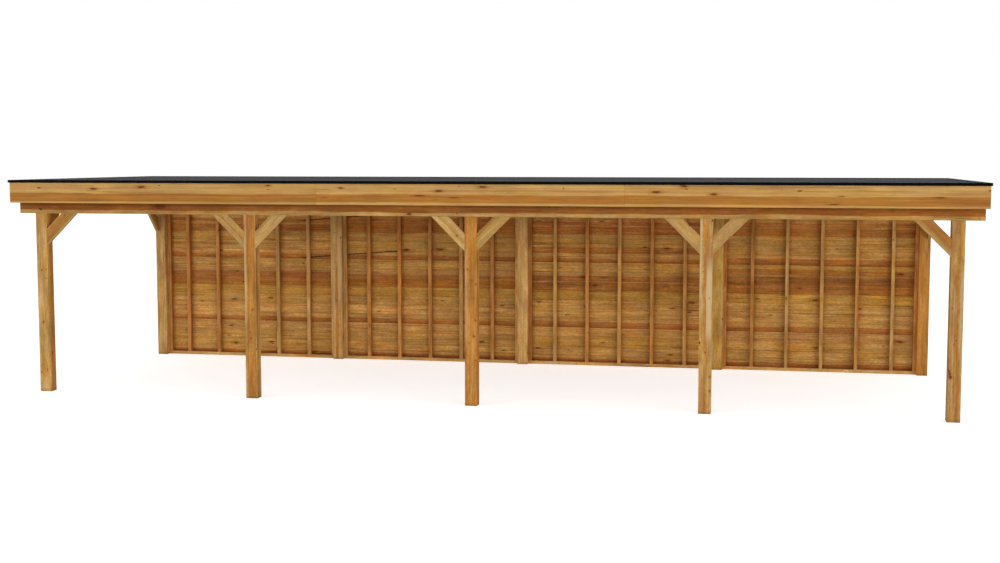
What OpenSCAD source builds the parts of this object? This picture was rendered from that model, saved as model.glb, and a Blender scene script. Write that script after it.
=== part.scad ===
// Freestanding timber veranda: five post frames, a boarded rear wall and a
// flat roof. Millimetres. X runs along the length, Y from the open front to
// the rear wall, Z up. The origin is on the ground, in the middle of the plan.

/* [Plan] */
// Distance from one post to the next along the length
bay_pitch = 2750; // [2400:10:3000]
// Depth over the outer faces of the front and rear posts
frame_depth = 3600; // [3200:10:4200]
// Roof overhang at both ends, post face to fascia face
side_overhang = 227.5; // [150:0.5:300]
// Roof overhang at front and rear, post face to fascia face
front_overhang = 200; // [140:5:260]

/* [Posts and beams] */
// Side of the square posts
post_w = 145; // [120:1:175]
// Height of the ring beam's underside above the ground
clear_height = 2250; // [2100:10:2400]
// Thickness of the ring beam
beam_t = 70; // [45:1:80]
// Height of the ring beam
beam_h = 195; // [170:1:220]
// Chamfer along the edges of posts, beams and rafters
chamfer = 4; // [1:0.5:6]

/* [Knee braces] */
// Width of a brace, seen from its broad side
brace_w = 145; // [95:1:160]
// Thickness of a brace
brace_t = 45; // [28:1:60]
// Reach of a brace along the post and along the beam
brace_leg = 405; // [300:5:500]

/* [Rear wall] */
// Face width of studs, sill and head
stud_w = 45; // [35:1:60]
// Depth of studs, sill and head
stud_d = 70; // [45:1:70]
// Stud spacing in the two middle bays
mid_stud_pitch = 459; // [400:1:470]
// Stud spacing in the two end bays
end_stud_pitch = 470; // [400:1:475]
// How far the studs of an end bay sit towards the end of the building
end_stud_shift = 35; // [0:1:60]
// Height that one board covers
board_cover = 133; // [110:1:150]
// Number of boards in the height of the wall
board_rows = 18; // [14:1:18]
// Thickness of the boards
board_t = 20; // [16:1:28]
// Height of the straight step above the hollow that runs along each board
cove_step = 12; // [6:0.5:14]
// How far a board's lip hangs over the board below, on the outside
board_lap = 11; // [0:0.5:14]

/* [Roof] */
// Thickness of a rafter
rafter_t = 45; // [35:1:70]
// Height of a rafter
rafter_h = 195; // [145:1:220]
// Number of rafters
rafter_count = 20; // [12:1:24]
// Thickness of the roof boarding
deck_t = 18; // [15:1:28]
// Thickness of the roofing membrane
membrane_t = 3; // [2:0.5:6]
// Thickness of the fascia boards
fascia_t = 20; // [16:1:28]
// Height of the fascia boards
fascia_h = 272; // [240:1:300]

/* [Roof edge trim] */
// Height of the trim's upright face
trim_h = 33; // [25:1:60]
// How far the trim stands in front of the fascia
trim_drip = 15; // [8:1:25]
// Wall thickness of the trim
trim_t = 3; // [2:0.5:4]
// Height of the trim's ridge above the membrane
trim_lip = 7; // [5:0.5:15]
// Width of the trim's ridge
trim_ridge = 18; // [16:1:30]
// Width of the flange that lies on the membrane
trim_flange = 55; // [30:1:90]

/* [Hidden] */
frames = 5;
bays = frames - 1;
frame_length = bays * bay_pitch + post_w;
half_length = frame_length / 2;
half_depth = frame_depth / 2;
beam_top = clear_height + beam_h;
rafter_top = beam_top + rafter_h;
deck_top = rafter_top + deck_t;
roof_top = deck_top + membrane_t;
fascia_z = deck_top - fascia_h;
roof_half_x = half_length + side_overhang;
roof_half_y = half_depth + front_overhang;
inner_half_x = roof_half_x - fascia_t;
inner_half_y = roof_half_y - fascia_t;
brace_cut = brace_w * sqrt(2);
bay_clear = bay_pitch - post_w;
stud_h = clear_height - 2 * stud_w;
inner_studs = 5;
wall_y = half_depth - stud_d;
cove_facets = 6;
cove_r = board_t / 2;
trim_half_x = roof_half_x + trim_drip;
trim_half_y = roof_half_y + trim_drip;

sides = ["left", "right"];
ends = ["front", "rear"];

// Left face of post i, counted from the left end
function post_x(i) = -half_length + (i - 1) * bay_pitch;

function end_bay(i) = i == 1 || i == bays;

// Outward direction of an end bay, 0 for a middle bay
function outward(i) = i == 1 ? -1 : i == bays ? 1 : 0;

function stud_pitch(i) = end_bay(i) ? end_stud_pitch : mid_stud_pitch;

// Centres of the studs between the two edge studs of bay i
function stud_centres(i) = [
    for (k = [0:inner_studs - 1])
        post_x(i) + post_w + bay_clear / 2
            + outward(i) * end_stud_shift
            + (k - (inner_studs - 1) / 2) * stud_pitch(i)
];

// Rectangle with its four corners cut off
module planed(w, h, c = chamfer) {
    polygon([[c, 0], [w - c, 0], [w, c], [w, h - c],
             [w - c, h], [c, h], [0, h - c], [0, c]]);
}

// Bars with planed edges, along each axis, from their lowest corner
module bar_x(l, w, h) {
    rotate([90, 0, 90]) linear_extrude(l) planed(w, h);
}

module bar_y(l, w, h) {
    translate([0, l, 0]) rotate([90, 0, 0]) linear_extrude(l) planed(w, h);
}

module bar_z(l, w, h) {
    linear_extrude(l) planed(w, h);
}

// A post carries the ring beam on a shoulder at its outer face, and its
// tongue stands up behind the beam. A corner post has a second shoulder.
module front_post(i) {
    color("#c8964f")
    difference() {
        translate([post_x(i), -half_depth, 0]) bar_z(beam_top, post_w, post_w);
        translate([post_x(i) - 1, -half_depth - 1, clear_height])
            cube([post_w + 2, beam_t + 1, beam_h + 1]);
        if (i == 1)
            translate([post_x(i) - 1, -half_depth, clear_height])
                cube([beam_t + 1, post_w + 1, beam_h + 1]);
        if (i == frames)
            translate([post_x(i) + post_w - beam_t, -half_depth, clear_height])
                cube([beam_t + 1, post_w + 1, beam_h + 1]);
    }
}

module rear_post(i) {
    mirror([0, 1, 0]) front_post(i);
}

// The front beam runs past the end posts to the side fascias
module front_beam() {
    color("#8a5426")
    translate([-inner_half_x, -half_depth, clear_height])
        bar_x(2 * inner_half_x, beam_t, beam_h);
}

module rear_beam() {
    mirror([0, 1, 0]) front_beam();
}

module left_beam() {
    color("#9a6230")
    translate([-half_length, -half_depth + beam_t, clear_height])
        bar_y(frame_depth - 2 * beam_t, beam_t, beam_h);
}

module right_beam() {
    mirror([1, 0, 0]) left_beam();
}

// Brace in the XZ plane with its corner at the origin: it stands against a
// post face at x = 0 and under a beam at z = 0
module knee_brace() {
    color("#d3ae6c")
    rotate([90, 0, 0])
        linear_extrude(brace_t)
            polygon([[0, -brace_leg], [brace_leg, 0],
                     [brace_leg - brace_cut, 0], [0, brace_cut - brace_leg]]);
}

module brace_right(i) {
    translate([post_x(i) + post_w, -half_depth + brace_t, clear_height])
        knee_brace();
}

module brace_left(i) {
    translate([post_x(i), -half_depth + brace_t, clear_height])
        mirror([1, 0, 0]) knee_brace();
}

module side_brace_front_left() {
    translate([-half_length, -half_depth + post_w, clear_height])
        rotate([0, 0, 90]) knee_brace();
}

module side_brace(side, end) {
    mirror([side == "right" ? 1 : 0, 0, 0])
        mirror([0, end == "rear" ? 1 : 0, 0])
            side_brace_front_left();
}

// Sill, head and seven studs between two rear posts
module wall_frame(i) {
    x0 = post_x(i) + post_w;
    edge_studs = [x0 + stud_w / 2, x0 + bay_clear - stud_w / 2];
    color("#c08d4e") {
        translate([x0, wall_y, 0])
            cube([bay_clear, stud_d, stud_w]);
        translate([x0, wall_y, clear_height - stud_w])
            cube([bay_clear, stud_d, stud_w]);
        for (x = concat(edge_studs, stud_centres(i)))
            translate([x - stud_w / 2, wall_y, stud_w])
                cube([stud_w, stud_d, stud_h]);
    }
}

// Height of the outer joint above a number of boards: the lip of the next board
// hangs below the inner joint, except at the foot and at the head of the wall
function outer_joint(boards) =
    boards * board_cover - (boards > 0 && boards < board_rows ? board_lap : 0);

// Outer edge of one board in section: a flat face, a hollow of a quarter circle
// above it, and a straight step up to the next board
function board_face(row) = concat(
    [[board_t, outer_joint(row)]],
    [[board_t, outer_joint(row + 1) - cove_step - cove_r]],
    [for (k = [1:cove_facets])
        let (a = 90 * k / cove_facets)
        [board_t - cove_r * sin(a),
         outer_joint(row + 1) - cove_step - cove_r * cos(a)]],
    [[board_t - cove_r, outer_joint(row + 1)]]
);

// The boards of one bay, from the middle of one post to the next, and to the
// outer face of a corner post
module wall_boards(i) {
    x0 = i == 1 ? -half_length : post_x(i) + post_w / 2;
    x1 = i == bays ? half_length : post_x(i + 1) + post_w / 2;
    outline = concat(
        [[0, 0]],
        [for (row = [0:board_rows - 1]) each board_face(row)],
        [[0, board_rows * board_cover]]
    );
    color("#a9743a")
    translate([x0, half_depth, 0])
        rotate([90, 0, 90]) linear_extrude(x1 - x0) polygon(outline);
}

module rafters() {
    step = (2 * inner_half_x - rafter_t) / (rafter_count - 1);
    color("#b9854a")
    for (k = [0:rafter_count - 1])
        translate([-inner_half_x + k * step, -inner_half_y, beam_top])
            bar_y(2 * inner_half_y, rafter_t, rafter_h);
}

module roof_deck() {
    color("#b48048")
    translate([-inner_half_x, -inner_half_y, rafter_top])
        cube([2 * inner_half_x, 2 * inner_half_y, deck_t]);
}

module roof_membrane() {
    color("#55575b")
    translate([-roof_half_x, -roof_half_y, deck_top])
        cube([2 * roof_half_x, 2 * roof_half_y, membrane_t]);
}

module fascia_front() {
    color("#c5924e")
    translate([-roof_half_x, -roof_half_y, fascia_z])
        cube([2 * roof_half_x, fascia_t, fascia_h]);
}

module fascia_rear() {
    mirror([0, 1, 0]) fascia_front();
}

module fascia_left() {
    color("#b9813f")
    translate([-roof_half_x, -inner_half_y, fascia_z])
        cube([fascia_t, 2 * inner_half_y, fascia_h]);
}

module fascia_right() {
    mirror([1, 0, 0]) fascia_left();
}

// Section of the trim: x is the distance in from its face, y the height
// above the membrane
module trim_section() {
    polygon([[0, trim_lip - trim_h], [trim_t, trim_lip - trim_h],
             [trim_t, trim_lip - trim_t], [trim_ridge - trim_t, trim_lip - trim_t],
             [trim_ridge + trim_t, 0], [trim_ridge + trim_flange, 0],
             [trim_ridge + trim_flange, trim_t], [trim_ridge + 2 * trim_t, trim_t],
             [trim_ridge, trim_lip], [0, trim_lip]]);
}

// A length of trim along the front, mitred at both corners: its face is at
// y = -offset and it is twice half_run long
module trim_run(half_run, offset) {
    width = trim_ridge + trim_flange;
    color("#17171a")
    intersection() {
        translate([-half_run, -offset, roof_top])
            rotate([90, 0, 90]) linear_extrude(2 * half_run) trim_section();
        translate([0, -offset, roof_top - trim_h])
            linear_extrude(2 * trim_h)
                polygon([[-half_run, 0], [half_run, 0],
                         [half_run - width, width], [width - half_run, width]]);
    }
}

module trim_front() {
    trim_run(trim_half_x, trim_half_y);
}

module trim_rear() {
    mirror([0, 1, 0]) trim_front();
}

module trim_left() {
    rotate([0, 0, -90]) trim_run(trim_half_y, trim_half_x);
}

module trim_right() {
    mirror([1, 0, 0]) trim_left();
}

for (i = [1:frames]) {
    front_post(i);
    rear_post(i);
}
front_beam();
rear_beam();
left_beam();
right_beam();
for (i = [1:bays]) {
    brace_right(i);
    brace_left(i + 1);
}
for (s = sides, e = ends)
    side_brace(s, e);
for (i = [1:bays]) {
    wall_frame(i);
    wall_boards(i);
}
rafters();
roof_deck();
roof_membrane();
fascia_front();
fascia_rear();
fascia_left();
fascia_right();
trim_front();
trim_rear();
trim_left();
trim_right();
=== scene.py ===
"""Looks of a freestanding timber veranda: planed posts, ring beam and braces, a boarded rear wall on
studs, rafters under roof boards, a rubber roof and a black roof edge. Metres, in the frame of the
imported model."""
import math

import bpy
import numpy as np
from mathutils import Matrix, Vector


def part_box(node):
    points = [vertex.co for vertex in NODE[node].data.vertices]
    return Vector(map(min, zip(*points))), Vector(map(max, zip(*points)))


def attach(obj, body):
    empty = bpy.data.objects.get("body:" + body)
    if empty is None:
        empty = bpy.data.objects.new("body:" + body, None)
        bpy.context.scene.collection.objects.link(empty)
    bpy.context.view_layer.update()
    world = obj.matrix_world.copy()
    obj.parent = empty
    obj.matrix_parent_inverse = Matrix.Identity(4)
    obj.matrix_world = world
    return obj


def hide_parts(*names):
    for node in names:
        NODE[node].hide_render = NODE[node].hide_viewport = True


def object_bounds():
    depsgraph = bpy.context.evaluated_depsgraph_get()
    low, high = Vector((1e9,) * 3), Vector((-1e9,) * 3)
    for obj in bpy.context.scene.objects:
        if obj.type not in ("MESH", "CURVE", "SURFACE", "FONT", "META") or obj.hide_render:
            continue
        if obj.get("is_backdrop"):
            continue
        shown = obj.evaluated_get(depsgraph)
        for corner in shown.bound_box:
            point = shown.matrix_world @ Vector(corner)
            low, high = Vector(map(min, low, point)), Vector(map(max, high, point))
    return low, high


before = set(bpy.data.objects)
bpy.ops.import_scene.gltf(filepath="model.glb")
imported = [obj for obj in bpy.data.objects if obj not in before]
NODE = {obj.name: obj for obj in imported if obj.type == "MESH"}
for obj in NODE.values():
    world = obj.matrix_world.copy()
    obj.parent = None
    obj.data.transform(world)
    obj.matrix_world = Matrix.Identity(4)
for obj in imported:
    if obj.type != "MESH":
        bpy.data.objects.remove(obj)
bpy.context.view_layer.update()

ROOT = "root"
FRAMES = range(1, 6)
BAYS = range(1, 5)

X = np.array([1.0, 0.0, 0.0])
Y = np.array([0.0, 1.0, 0.0])
Z = np.array([0.0, 0.0, 1.0])
OUTWARD = {"front": -Y, "rear": Y, "left": -X, "right": X}

# Timber sizes that the pieces of this file share
ARRIS = 0.003          # radius of a planed edge
SAWN_EASE = 0.0012     # how far a sawn end is eased
BOARD_EASE = 0.0005    # the same on the ends of the thin wall boards
BUTT_GAP = 0.001       # open joint between two butted lengths
HALF_JOINT = 0.0005    # half the joint between two wall boards
PLAY = 0.0003          # play of a lap, and of each edge of a roof board
BRACE_WIDTH = 0.145
BRACE_THICKNESS = 0.045
STUD_WIDTH = 0.045
STUD_DEPTH = 0.070
BOARD_COVER = 0.133
BOARD_ROWS = 18
BOARD_THICKNESS = 0.020
BOARD_LAP = 0.011
HOLLOW_DROP = 0.012    # from the top of a board's face to the top of its hollow
HOLLOW_STEPS = 7
LIP_EASE = 0.001       # how far the outer lower edge of a board's lip is eased
DECK_ROWS = 33
RAFTERS = 20
RAFTER_THICKNESS = 0.045

# Where each run of random draws starts
FRAME_DRAWS = 500
BOARD_DRAWS = 700
SHARE_DRAWS = 760
DECK_DRAWS = 900

# Painted shade on the inner face of the wall boards
JOINT_FADE = 0.016     # height over which a joint's painted shade fades out
DARK_JOINT = 1.0       # painted shade above the two open joints of the wall
FAINT_JOINT = 0.30     # painted shade in its other joints
DARK_JOINT_ROWS = (3, 10)
SILL_SHADE = 0.056      # height of the strip of painted shade over the sill, and where it has faded out
SILL_FADE = 0.085
UNSHADED_FROM = 0.040     # height on the other boards from which no painted shade is left
STUD_SHADE_FADE = ((0.0, 0.75), (0.010, 0.30), (0.042, 0.0))  # painted shade beside a stud: distance and its amount there
END_MARGIN = 0.01      # no station of painted shade lies nearer than this to a board's end

# Depth behind a face within which its marks are drawn, past the eased edges
FACE_DEPTH = 0.004
WALL_FACE_DEPTH = 0.005


# -------------------- shapes

def arris_section(width, height, radius=ARRIS, steps=3):
    """Closed outline of a planed timber, counter-clockwise about its middle: a rectangle of width by
    height whose four corners are quarter circles of the given radius. A section is the outline with its
    arris mask, here 1 on the middle of each rounded corner and 0 where the flat faces start, and its
    mask of painted shade."""
    turn = np.linspace(0, math.pi / 2, steps + 1)
    arc = radius * np.stack([np.cos(turn), np.sin(turn)], 1)
    reach = np.array([width / 2 - radius, height / 2 - radius])
    corners = []
    for quarter in range(4):
        cos, sin = math.cos(quarter * math.pi / 2), math.sin(quarter * math.pi / 2)
        spin = np.array([[cos, sin], [-sin, cos]])
        sign = np.sign([cos - sin, cos + sin])
        corners.append(arc @ spin + reach * sign)
    mask = np.tile(np.sin(np.linspace(0, math.pi, steps + 1)), 4)
    return np.concatenate(corners), mask, np.zeros(len(mask))


def shade_corners(section, towards, amount):
    """The section with shade painted on the corners that lie in the given direction from its middle."""
    outline, mask, painted_shade = section
    return outline, mask, np.where((outline * towards > 0).all(1), amount, painted_shade)


def board_section(row):
    """Outline of one wall board in section, measured from its inner face and its lower joint: across is
    0 inside and the board's thickness outside. A lip hangs over the board below, and a hollow, a
    quarter circle of the thickness halved, runs along the top in front of the tongue. Row 0 has no lip,
    and in the last row, over which no lip hangs, the hollow lies a lap higher. Shade is painted under
    the lip, in the hollow and its neck, along the joints of the inner face, and over the sill in row 0;
    where a joint is open, a painted highlight lightens the edge below it."""
    half = BOARD_THICKNESS / 2
    lap = BOARD_LAP if row > 0 else 0.0
    top = BOARD_COVER - BOARD_LAP if row < BOARD_ROWS - 1 else BOARD_COVER
    turn = np.linspace(0, math.pi / 2, HOLLOW_STEPS)
    hollow = np.stack([BOARD_THICKNESS - half * np.sin(turn), top - HOLLOW_DROP - half * np.cos(turn)], 1)
    lower = [[0.0, HALF_JOINT]]
    if lap:
        lower += [[half + PLAY, HALF_JOINT], [half + PLAY, HALF_JOINT - lap]]
    lower += [[BOARD_THICKNESS - LIP_EASE, HALF_JOINT - lap],
              [BOARD_THICKNESS, HALF_JOINT + LIP_EASE - lap]]
    upper = [[half - PLAY, BOARD_COVER - HALF_JOINT], [0.0, BOARD_COVER - HALF_JOINT]]
    shaded_to = SILL_SHADE if row == 0 else UNSHADED_FROM
    inside = [[0.0, BOARD_COVER - JOINT_FADE], [0.0, SILL_FADE], [0.0, shaded_to], [0.0, JOINT_FADE]]
    outline = np.concatenate([lower, hollow, upper, inside])
    painted_shade = np.zeros(len(outline))
    painted_highlight = np.zeros(len(outline))
    foot = len(lower)
    # painted shade under and inside the lip, in the hollow, and up the tongue behind the lip above
    painted_shade[1:foot] = np.linspace(0.9, 0.1, foot - 1)
    painted_shade[foot:foot + HOLLOW_STEPS] = np.linspace(0.0, 0.85, HOLLOW_STEPS)
    painted_shade[foot + HOLLOW_STEPS] = 0.9
    # painted shade along the top joint of the inner face
    painted_shade[-5] = FAINT_JOINT
    # painted highlight on the inner edge just under an open joint
    painted_highlight[-5] = row in DARK_JOINT_ROWS
    # painted shade along the lower joint of the inner face, darkest where that joint is open
    painted_shade[0] = DARK_JOINT if row - 1 in DARK_JOINT_ROWS else FAINT_JOINT
    painted_shade[-1] = 0.3 if row - 1 in DARK_JOINT_ROWS else 0.0
    # painted shade in a strip over the sill
    if row == 0:
        painted_shade[[0, -1, -2]] = 0.9
    return outline, painted_highlight, painted_shade


def deck_section(width, thickness, bevel=0.004):
    """Outline of one roof board in section about its middle: a rectangle whose two lower edges are
    bevelled, so that two boards side by side show a V from below. Shade is painted at the top of each
    bevel, deep in the V."""
    w, t = width / 2 - PLAY, thickness / 2
    outline = np.array([[-w + bevel, -t], [w - bevel, -t], [w, -t + bevel],
                        [w, t], [-w, t], [-w, -t + bevel]])
    # the last mask paints shade where the bevels meet the board's sides, in the V between boards
    return outline, np.zeros(6), np.array([0.0, 0.0, 0.6, 0.0, 0.0, 0.6])


def unit(v):
    v = np.asarray(v, float)
    return v / np.linalg.norm(v)


def box_corners(name):
    """The low and the high corner of a CAD node's box, as arrays."""
    return [np.array(corner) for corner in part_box(name)]


def tube(start, sides, rings):
    """Quads round a row of rings, each of so many points, that are numbered from start."""
    u = np.arange(sides)
    after = (u + 1) % sides
    quads = np.stack([u, after, after + sides, u + sides], 1)
    return [face for ring in range(rings - 1) for face in (quads + start + ring * sides).tolist()]


def new_mesh(name, points, faces):
    mesh = bpy.data.meshes.new(name)
    mesh.from_pydata(points.tolist(), [], faces)
    return mesh


def add_object(name, data):
    """An object with the given mesh, lamp or lens, linked to the scene."""
    made = bpy.data.objects.new(name, data)
    bpy.context.scene.collection.objects.link(made)
    return made


def settle(name, mesh, material, replaced=()):
    """Links a finished mesh as a piece that rides on the frame."""
    mesh.update()
    piece = add_object(name, mesh)
    mesh.materials.append(material)
    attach(piece, ROOT)
    if replaced:
        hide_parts(*replaced)
    return piece


class Stack:
    """Collects the lengths of timber that become one piece, with the values that their points carry:
    grain is the place in the timber; timber holds its seed, heart radius and tone; cast its hue; arris
    marks worn edges and painted highlights, end_grain sawn ends, and the last layer holds shade painted
    into corners, joints and hollows."""

    LAYERS = ("grain", "timber", "cast", "arris", "end_grain", "painted_shade")

    def __init__(self):
        self.points, self.faces = [], []
        self.layers = {layer: [] for layer in self.LAYERS}
        self.count = 0

    def carry(self, section, origin, along, up, length, timber, cuts=(0.0, 0.0), ease=SAWN_EASE, shade_stations=()):
        """Carries a closed section along a straight line. Point (u, v) lies at origin + along * s +
        across * a(u) + up * b(u), where a and b are the section's coordinates, across is up x along,
        and s runs from cuts[0] * b(u) to length + cuts[1] * b(u): a cut of 1 is a mitre of 45 degrees.
        The rings at both ends are drawn in towards the section's middle, which eases the sawn ends.
        timber holds the seed, the heart's radius, the tone and, where it has one, the cast of this
        length. The last argument holds stations in between, as pairs of s and the shade painted there on
        the face where a is 0."""
        outline, mask, painted_shade = section
        along, up = unit(along), unit(up)
        across = np.cross(up, along)
        middle = (outline.min(0) + outline.max(0)) / 2
        drawn = middle + (outline - middle) * (1 - ease / (np.ptp(outline, axis=0) / 2))
        stations = np.array(sorted(shade_stations)).reshape(-1, 2)
        n, m = len(outline), len(stations) + 4
        rings = np.stack([drawn, *[outline] * (m - 2), drawn])
        reach = np.concatenate([[0.0, ease], stations[:, 0], [length - ease, length]])[:, None]
        slope = np.array([cuts[0]] * 2 + [0.0] * (m - 4) + [cuts[1]] * 2)[:, None]
        s = reach + slope * rings[:, :, 1]
        a, b = rings[:, :, 0], rings[:, :, 1]
        points = origin + s[..., None] * along + a[..., None] * across + b[..., None] * up
        grain = np.stack([s, a, b], -1)
        # painted shade: shade painted beside the studs at the stations, on the face where a is 0, over
        # the section's own painted shade
        contact = np.concatenate([[0.0, 0.0], stations[:, 1], [0.0, 0.0]])[:, None]
        shade_values = np.maximum(painted_shade, contact * (np.abs(outline[:, 0]) < 1e-6))
        edge = np.concatenate([np.ones((1, n)), np.tile(mask, (m - 2, 1)), np.ones((1, n))])
        # both ends are closed by caps with points of their own, after those of the rings
        u = np.arange(n)
        cap = self.count + m * n
        self.faces += tube(self.count, n, m)
        self.faces += [(cap + u[::-1]).tolist(), (cap + n + u).tolist()]
        self.points += [points.reshape(-1, 3), points[0], points[-1]]
        total = (m + 2) * n
        seed, heart, tone, cast = (*timber, 0.0)[:4]
        values = (np.concatenate([grain.reshape(-1, 3), grain[0], grain[-1]]),
                  np.tile([float(seed), heart, tone], (total, 1)),
                  np.full(total, cast),
                  np.append(edge, np.zeros(2 * n)),
                  np.repeat([0.0, 1.0], [m * n, 2 * n]),
                  np.append(shade_values, np.zeros(2 * n)))
        for layer, value in zip(self.LAYERS, values):
            self.layers[layer].append(value)
        self.count += total

    def piece(self, name, material, slot, replaced=()):
        """Makes the mesh, with its layers as attributes, and lets it ride on the frame."""
        mesh = new_mesh(name, np.concatenate(self.points), self.faces)
        for layer, parts in self.layers.items():
            values = np.concatenate(parts).astype(np.float32)
            kind, field = ("FLOAT_VECTOR", "vector") if values.ndim == 2 else ("FLOAT", "value")
            mesh.attributes.new(layer, kind, "POINT").data.foreach_set(field, values.ravel())
        return settle(name, mesh, material, replaced)


def turned(profile, sides):
    """A turned form about z: point (u, v) is the profile's radius r(v) and height h(v) at angle u, and
    a flat cap closes each end. Returns points and faces."""
    angle = np.arange(sides) * 2 * math.pi / sides
    ring = np.stack([np.cos(angle), np.sin(angle)], 1)
    points = np.concatenate([np.concatenate([r * ring, np.full((sides, 1), h)], 1) for r, h in profile])
    u = np.arange(sides)
    last = (len(profile) - 1) * sides
    return points, tube(0, sides, len(profile)) + [(last + u).tolist(), u[::-1].tolist()]


def repeat(template, places, normal, name, material):
    """Sets one small form at many places, its z axis turned to the normal, as one piece."""
    points, faces = template
    faces = [np.array(face) for face in faces]
    z = unit(normal)
    side = unit(np.cross(X if abs(z[0]) < 0.9 else Y, z))
    turned_points = points @ np.stack([side, np.cross(z, side), z])
    everything = (np.asarray(places, float)[:, None, :] + turned_points[None]).reshape(-1, 3)
    all_faces = [(face + k * len(points)).tolist() for k in range(len(places)) for face in faces]
    return settle(name, new_mesh(name, everything, all_faces), material)


# -------------------- material tools

def shade(red, green, blue):
    """A colour from its values on a 0 to 255 chart, as linear light."""
    v = np.array([red, green, blue]) / 255
    linear = np.where(v <= 0.04045, v / 12.92, ((v + 0.055) / 1.055) ** 2.4)
    return (*linear.tolist(), 1.0)


def step(operation, swapped=False):
    """A method of Value: adds the math node of one operation, on the value and on the other one, if
    any."""
    def combined(value, other=None):
        pair = (other, value) if swapped else (value, other)
        return value.web.combine(operation, *pair)

    return combined


class Value:
    """The output of a node, as a term of a formula: +, -, *, / and abs() add the math nodes. Vectors,
    which may be written as tuples, are added and multiplied part by part, and a vector times a number
    is scaled."""

    def __init__(self, web, socket):
        self.web = web
        self.socket = socket

    __add__ = step("ADD")
    __radd__ = step("ADD", swapped=True)
    __sub__ = step("SUBTRACT")
    __rsub__ = step("SUBTRACT", swapped=True)
    __mul__ = step("MULTIPLY")
    __truediv__ = step("DIVIDE")
    __abs__ = step("ABSOLUTE")


def is_vector(term):
    """Whether a term of a formula is a vector or a colour, and not a number."""
    return isinstance(term, tuple) or isinstance(term, Value) and term.socket.type != "VALUE"


class Nodes:
    """Adds nodes to one tree. Most calls return the output that they make, as a Value."""

    def __init__(self, tree):
        self.tree = tree

    def feed(self, socket, value):
        if isinstance(value, Value):
            self.tree.links.new(value.socket, socket)
        elif value is not None:
            socket.default_value = value

    def fill(self, node, inputs):
        """Feeds several inputs of a node, by name or number."""
        for key, value in inputs.items():
            self.feed(node.inputs[key], value)

    def add(self, kind, inputs=None, **settings):
        node = self.tree.nodes.new(kind)
        for key, value in settings.items():
            setattr(node, key, value)
        self.fill(node, inputs or {})
        return node

    def make(self, kind, output, inputs=None, **settings):
        """Adds a node and returns one of its outputs, by name or number."""
        return Value(self, self.add(kind, inputs, **settings).outputs[output])

    def outputs(self, node):
        """All outputs of a node, by name."""
        return {socket.name: Value(self, socket) for socket in node.outputs}

    def math(self, operation, a, b=None, clamp=False):
        return self.make("ShaderNodeMath", 0, {0: a, 1: b}, operation=operation, use_clamp=clamp)

    def vector(self, operation, a, b=None):
        output = "Value" if operation in ("LENGTH", "DOT_PRODUCT") else "Vector"
        second = "Scale" if operation == "SCALE" else 1
        return self.make("ShaderNodeVectorMath", output, {0: a, second: b}, operation=operation)

    def combine(self, operation, a, b=None):
        """The math node for two terms: numbers, vectors, or a vector and the number that scales it."""
        if not is_vector(a):
            return self.math(operation, a, b)
        if b is None or is_vector(b):
            return self.vector(operation, a, b)
        return self.vector("SCALE", a, b)

    def position(self):
        """The place on the object, in metres."""
        return self.make("ShaderNodeTexCoord", "Object")

    def attribute(self, name, output="Fac"):
        return self.make("ShaderNodeAttribute", output, attribute_name=name)

    def join(self, x=0.0, y=0.0, z=0.0):
        return self.make("ShaderNodeCombineXYZ", 0, {0: x, 1: y, 2: z})

    def split(self, vector):
        return list(self.outputs(self.add("ShaderNodeSeparateXYZ", {0: vector})).values())

    def noise(self, vector, scale=1.0, detail=2.0, roughness=0.5, output=0):
        sockets = {"Vector": vector, "Scale": scale, "Detail": detail, "Roughness": roughness}
        return self.make("ShaderNodeTexNoise", output, sockets)

    def spread(self, value, low, high, to_low=0.0, to_high=1.0, smooth=False):
        """Maps low..high to to_low..to_high, held at both ends."""
        return self.make("ShaderNodeMapRange", 0, {0: value, 1: low, 2: high, 3: to_low, 4: to_high},
                         interpolation_type="SMOOTHSTEP" if smooth else "LINEAR")

    def mix(self, amount, a, b):
        return self.make("ShaderNodeMix", 2, {0: amount, 6: a, 7: b}, data_type="RGBA")

    def tint(self, color, amount, factors):
        """The colour with its red, green and blue multiplied, by as much as the amount says."""
        return self.mix(amount, color, color * factors)


def new_group(name, inputs, outputs):
    """An empty node group. inputs gives each input's default, whose form tells the kind: a number, a
    vector of three or a colour of four. outputs are names; the one called Color is a colour, the others
    numbers."""
    tree = bpy.data.node_groups.new(name, "ShaderNodeTree")
    for label, default in inputs.items():
        kind = {1: "Float", 3: "Vector", 4: "Color"}[np.size(default)]
        socket = tree.interface.new_socket(label, in_out="INPUT", socket_type="NodeSocket" + kind)
        socket.default_value = default
    for label in outputs:
        kind = "Color" if label == "Color" else "Float"
        tree.interface.new_socket(label, in_out="OUTPUT", socket_type="NodeSocket" + kind)
    web = Nodes(tree)
    return web, web.outputs(web.add("NodeGroupInput")), web.add("NodeGroupOutput")


HALF = (0.5, 0.5, 0.5)
ORIGIN = (0.0, 0.0, 0.0)
BLACK = (0.0, 0.0, 0.0, 1.0)

# How much of red, green and blue each tint leaves
WARM = (1.0, 0.76, 0.46)
GOLDEN = (1.04, 0.98, 0.62)
PINKISH = (0.92, 0.76, 0.86)
PALER = (1.10, 1.24, 1.60)
DEEPER = (0.94, 0.82, 0.64)
# brown tint of painted shade, for corners, joints and hollows
SHADE_TINT = (0.50, 0.33, 0.20)
KNOT_CLOUD = (0.72, 0.50, 0.36)
BEAM_END = (0.95, 0.86, 0.72)

KNOT_SIZES = {"Seed": 0.0, "Spacing": 0.5, "Size": 0.01}
KNOT_MASKS = ("Core", "Rim", "Swell")


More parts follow.
